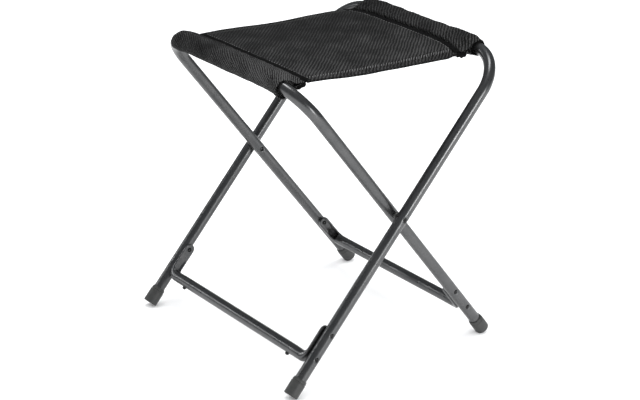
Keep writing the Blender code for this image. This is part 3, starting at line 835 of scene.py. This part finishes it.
def panel(hand, label):
    """Half of the flat seat: one cloth with a turned hem at the front and back."""
    stations, columns = 190, 96
    edge = 0.0016
    under_seam = 0.0008
    far = HEM_OUTER - edge
    ys = np.linspace(-far, far, stations)
    turn = np.linspace(0, math.pi, 9)[1:-1]
    out = edge * np.sin(turn)
    rows, uv = [], []
    for share in np.linspace(0.0, 1.0, columns):
        x = (seam_x(hand, ys) + hand * under_seam) * (1 - share)
        top, half = panel_top(x, ys)
        low = top - 2 * half
        ring = [np.stack([x, ys, top], 1)]
        middle, reach = (top[-1] + low[-1]) / 2, (top[-1] - low[-1]) / 2
        ring.append(np.stack([np.full(len(turn), x[-1]), far + out, middle + reach * np.cos(turn)], 1))
        ring.append(np.stack([x[::-1], ys[::-1], low[::-1]], 1))
        middle, reach = (top[0] + low[0]) / 2, (top[0] - low[0]) / 2
        ring.append(np.stack([np.full(len(turn), x[0]), -far - out, middle - reach * np.cos(turn)], 1))
        ring = np.concatenate(ring)
        step = np.linalg.norm(np.diff(np.concatenate([ring, ring[:1]])[:, 1:], axis=0), axis=1)
        along = -far + np.concatenate([[0], np.cumsum(step)])
        rows.append(ring)
        uv.append(np.stack([np.concatenate([ring[:, 0], ring[:1, 0]]), along], 1))
    return skin("panel_" + label, rows, uv=np.array(uv))


def thread_rings(path, radii, sides):
    """Rings of points round a path, for a round thread."""
    ahead = np.gradient(path, axis=0)
    ahead /= np.linalg.norm(ahead, axis=1)[:, None]
    side = np.cross(ahead, np.tile([0.0, 0.0, 1.0], (len(path), 1)))
    side /= np.linalg.norm(side, axis=1)[:, None]
    up = np.cross(side, ahead)
    turn = ring_turns(sides)
    return path[:, None] + radii[:, None, None] * (
        np.cos(turn)[None, :, None] * side[:, None] + np.sin(turn)[None, :, None] * up[:, None])


def stitches(name, segments, radius, lift):
    """Many short threads in one mesh: each bows up from where it enters the cloth to where it leaves."""
    points, faces = [], []
    sides, steps = 8, 7
    for start, stop in segments:
        start, stop = np.asarray(start), np.asarray(stop)
        share = np.linspace(0, 1, steps)
        path = start + (stop - start) * share[:, None]
        path[:, 2] += lift * np.sin(math.pi * share) - 0.3 * radius
        radii = radius * (0.55 + 0.45 * np.sin(math.pi * share) ** 0.5)
        base = len(points)
        points += thread_rings(path, radii, sides).reshape(-1, 3).tolist()
        for i in range(steps - 1):
            for k in range(sides):
                m = (k + 1) % sides
                faces.append((base + i * sides + k, base + i * sides + m,
                              base + (i + 1) * sides + m, base + (i + 1) * sides + k))
        faces.append(tuple(base + k for k in range(sides - 1, -1, -1)))
        faces.append(tuple(base + (steps - 1) * sides + k for k in range(sides)))
    return mesh_object(name, points, faces)


def hem_stitches(hand, label, end, where, material):
    """The slanted threads that hold a hem."""
    segments = []
    local = np.random.default_rng(60 + hand + 3 * end)
    first = 0.62
    far = float(seam_x(1, end * (HEM_OUTER - STITCH_IN))) - 0.004
    for k in range(int(far / STITCH_PITCH)):
        x = hand * STITCH_PITCH * (k + first)
        lean = 0.0018 + local.uniform(-0.0004, 0.0004)
        middle = HEM_OUTER - STITCH_IN + local.uniform(-0.0003, 0.0003)
        half = STITCH_HALF * local.uniform(0.75, 1.1)
        ends = [(x - lean, middle + half), (x + lean, middle - half)]
        segments.append([(a, end * b, float(panel_top(a, end * b)[0])) for a, b in ends])
    obj = stitches(f"hem_stitches_{where}_{label}", segments, radius=0.00046, lift=0.0004)
    return show(obj, "seat_" + label, material, "seam_tape")


def chain_stitches(hand, label, material):
    """Grey chain stitches along the panel's side of the seam."""
    pitch, length, slant = 0.0060, 0.0032, 0.0009
    beside_seam, above = 0.0045, 0.0001
    half = HEM_OUTER - 0.016
    segments = []
    for k in range(int(2 * half / pitch)):
        y0 = -half + k * pitch
        y1 = y0 + length
        x0 = float(seam_x(hand, y0)) - hand * beside_seam
        x1 = x0 - hand * slant
        segments.append([(x, y, float(panel_top(x, y)[0]) + above) for x, y in ((x0, y0), (x1, y1))])
    obj = stitches("chain_stitches_" + label, segments, radius=0.00038, lift=0.0003)
    return show(obj, "seat_" + label, material, "seam_tape")


def binding(hand, label, material):
    """The overlocked raw edge in the seam, a ruffled ridge whose scallops lean on the panel."""
    stations, sides, scallop_pitch = 460, 28, 0.0042
    half_y = SLEEVE_HALF - 0.0005
    ys = np.linspace(-half_y, half_y, stations)
    scallop = np.abs(np.sin(math.pi * ys / scallop_pitch)) ** 0.6
    wander = waves(ys, 31 + hand, 5, 0.012, 0.040)
    flutter = waves(ys, 41 + hand, 6, 0.004, 0.009)
    turn = ring_turns(sides)
    share = 0.5 + 0.5 * np.cos(turn)
    start = PANEL_U - EDGE_BACK - SEAM_OPEN[hand]
    rows = []
    for k, y in enumerate(ys):
        reach = EDGE_REACH + SEAM_OPEN[hand] + 0.0016 * scallop[k] + 0.0005 * wander[k] + 0.0004 * flutter[k]
        u = start - float(seam_shift(hand, y)) + reach * share
        thick = 0.0011 + 0.0003 * scallop[k] * share
        level = float(seam_rise(hand, y)) + 0.0003 + 0.0004 * share + 0.0002 * flutter[k]
        w = level + thick * np.sin(turn) - 0.0012 * (1 - share) ** 2
        rows.append(np.stack([hand * (BAR_X - u), np.full(sides, y), BAR_Z + w], 1))
    obj = skin("seam_edge_" + label, rows)
    return show(obj, "seat_" + label, material, "seam_tape", "seam_binding_" + label)


def corner_tuck(hand, label, end, where, material):
    """The bunched raw cloth tucked under a corner of the seat, in frayed folds."""
    low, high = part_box(f"corner_tuck_{where}_{label}")
    middle, reach = (low + high) / 2, (high - low) / 2
    outboard, raised = 0.0030, 0.0034
    stretch_x, stretch_y, stretch_z = 1.6, 0.95, 1.9
    local = np.random.default_rng(100 + hand * 3 + end)
    phases = local.uniform(0, 2 * math.pi, 4)
    rings, sides = 49, 96
    lat = np.linspace(0, math.pi, rings)[:, None]
    lon = ring_turns(sides)[None, :]
    x = np.sin(lat) * np.cos(lon)
    y = np.cos(lat) * np.ones_like(lon)
    z = np.sin(lat) * np.sin(lon)
    fold = np.zeros_like(x)
    folds = ((0.20, 7, 2), (0.15, 11, -7), (0.10, 19, 12), (0.07, 31, -23))
    for (depth, x_rate, y_rate), phase in zip(folds, phases):
        fold += depth * np.sin(x_rate * x + y_rate * y + phase)
    size = 1.0 + fold * (0.35 + 0.65 * np.abs(z))
    rows = np.stack([middle.x + hand * outboard + reach.x * stretch_x * x * (1 + 0.3 * fold),
                     middle.y + reach.y * stretch_y * y,
                     middle.z + raised + reach.z * stretch_z * z * size - hand * 0.25 * reach.x * x], 2)
    obj = skin(f"tuck_{where}_{label}", rows, capped=False)
    return show(obj, "seat_" + label, material, "seam_tape", f"corner_tuck_{where}_{label}")


# ---------------------------------------------------------------- build

outer = Frame("outer_frame", -1, OUTER_Y)
inner = Frame("inner_frame", 1, INNER_Y)

paint = paint_material("anthracite_coat", 0.100)
cap_look = plastic_material("cap_plastic_look", 0.026, 0.38, 0.55)
nylon = plastic_material("nylon_look", 0.03, 0.35, 0.50)
rubber = plastic_material("rubber_look", 0.012, 0.6, 0.8)
zinc = zinc_material("rubbed_rivet", 0.040)
fabric = cloth_material("ribbed_cloth", 0.0012, 0.0060, 0.042, 0.0007, 0.55)
# The left sleeve's copy has paler flecks and a much larger front gain: painted light, for the side light that
# falls on that sleeve.
sleeve_looks = {-1: cloth_material("sleeve_cloth_left", 0.0012, 0.0068, 0.060, 0.0010, 1.30),
                1: cloth_material("sleeve_cloth_right", 0.0012, 0.0066, 0.045, 0.0009, 0.35)}
edge_look = fuzz_material("overlocked_edge", 0.0008, 0.0070)
thread = thread_material("grey_thread", 0.05, 0.12)
dark_thread = thread_material("dark_thread", 0.012, 0.035)

for part, body in ((inner, "inner_frame"), (outer, "outer_frame")):
    tube(part, body, paint)
    brace(part, body, paint)
    head_y = part.half_y + TUBE_R - DIMPLE_DEPTH
    ring_y = part.tab_y - TAB_THICK + RING_IN_TAB
    for end, where in ((-1, "near"), (1, "far")):
        foot_cap(part, body, end, where, cap_look)
        for level in ("low", "high"):
            rivet(f"rivet_{body}_{level}_{where}", f"{part.name}_rivet_{level}_{where}", part, body, end,
                  RIVET_S[level], head_y, ring_y, RIVET_SHANK_R, zinc)
head_y = OUTER_Y + TUBE_R - DIMPLE_DEPTH
ring_y = INNER_Y - TUBE_R + DIMPLE_DEPTH
for end, where in ((-1, "near"), (1, "far")):
    rivet("pivot_rivet_head_" + where, "pivot_rivet_" + where, outer, "outer_frame", end, PIVOT_S,
          head_y, ring_y, PIVOT_SHANK_R, zinc)
    washer(where, end, nylon)
    plug(where, rubber)

for hand, label in ((-1, "left"), (1, "right")):
    body = "seat_" + label
    pad = sleeve(hand, label)
    puff(pad, sleeve_hold, PUFF_MOST)
    show(pad, body, sleeve_looks[hand], "seat_fabric", "sleeve_cover_" + label, "sleeve_foam_" + label)
    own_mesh(pad)
    sheet = panel(hand, label)
    show(sheet, body, fabric, "seat_fabric", "seat_panel_" + label, "hem_front_" + label, "hem_back_" + label)
    with_it = [binding(hand, label, edge_look), chain_stitches(hand, label, thread)]
    for end, where in ((-1, "front"), (1, "back")):
        with_it.append(hem_stitches(hand, label, end, where, thread if end < 0 else dark_thread))
        corner_tuck(hand, label, end, where, edge_look)


# ---------------------------------------------------------------- studio

def area_light(name, at, toward, size, watts):
    data = bpy.data.lights.new(name, "AREA")
    data.shape = "RECTANGLE"
    data.size, data.size_y = size
    data.energy = watts
    obj = bpy.data.objects.new(name, data)
    obj.location = at
    obj.rotation_euler = (Vector(toward) - Vector(at)).to_track_quat("-Z", "Y").to_euler()
    bpy.context.scene.collection.objects.link(obj)


floor_mesh = bpy.data.meshes.new("floor")
floor_mesh.from_pydata([(-30, -30, 0), (30, -30, 0), (30, 30, 0), (-30, 30, 0)], [], [(0, 1, 2, 3)])
floor = bpy.data.objects.new("floor", floor_mesh)
floor.data.materials.append(floor_material())
bpy.context.scene.collection.objects.link(floor)

seat_middle = (0, 0, 0.30)
area_light("overhead", (0.1, 0.1, 3.4), seat_middle, (1.0, 1.0), 32)
area_light("front_strip", (0.20, -2.9, 0.78), seat_middle, (0.30, 0.6), 22)
area_light("left_back_strip", (-2.2, 2.9, 1.6), seat_middle, (0.3, 0.4), 10)
sky_data = bpy.data.lights.new("soft_sky", "SUN")
sky_data.energy = 4.3
sky_data.angle = math.radians(150)
sky = bpy.data.objects.new("soft_sky", sky_data)
sky.rotation_euler = (math.radians(8), math.radians(-6), 0)
sky.visible_glossy = False
bpy.context.scene.collection.objects.link(sky)

world = bpy.data.worlds.new("studio")
world.use_nodes = True
world.node_tree.nodes["Background"].inputs[0].default_value = (0.9, 0.95, 1.0, 1)
world.node_tree.nodes["Background"].inputs[1].default_value = 0.25
bpy.context.scene.world = world
bpy.context.scene.view_settings.view_transform = "Standard"

# ---------------------------------------------------------------- camera

back = Vector((math.sin(CAMERA_AZIMUTH) * math.cos(CAMERA_ELEVATION),
               -math.cos(CAMERA_AZIMUTH) * math.cos(CAMERA_ELEVATION), math.sin(CAMERA_ELEVATION)))
right = (-back).cross(Vector((0, 0, 1))).normalized()
up = back.cross(right)
turned_right = right * math.cos(CAMERA_ROLL) + up * math.sin(CAMERA_ROLL)
turned_up = up * math.cos(CAMERA_ROLL) - right * math.sin(CAMERA_ROLL)
camera_data = bpy.data.cameras.new("camera")
camera_data.lens = CAMERA_LENS
camera_data.sensor_width = 36
camera = bpy.data.objects.new("camera", camera_data)
camera.matrix_world = Matrix.Translation(CAMERA_TARGET + back * CAMERA_DISTANCE) @ Matrix(
    (turned_right, turned_up, back)).transposed().to_4x4()
bpy.context.scene.collection.objects.link(camera)
bpy.context.scene.camera = camera
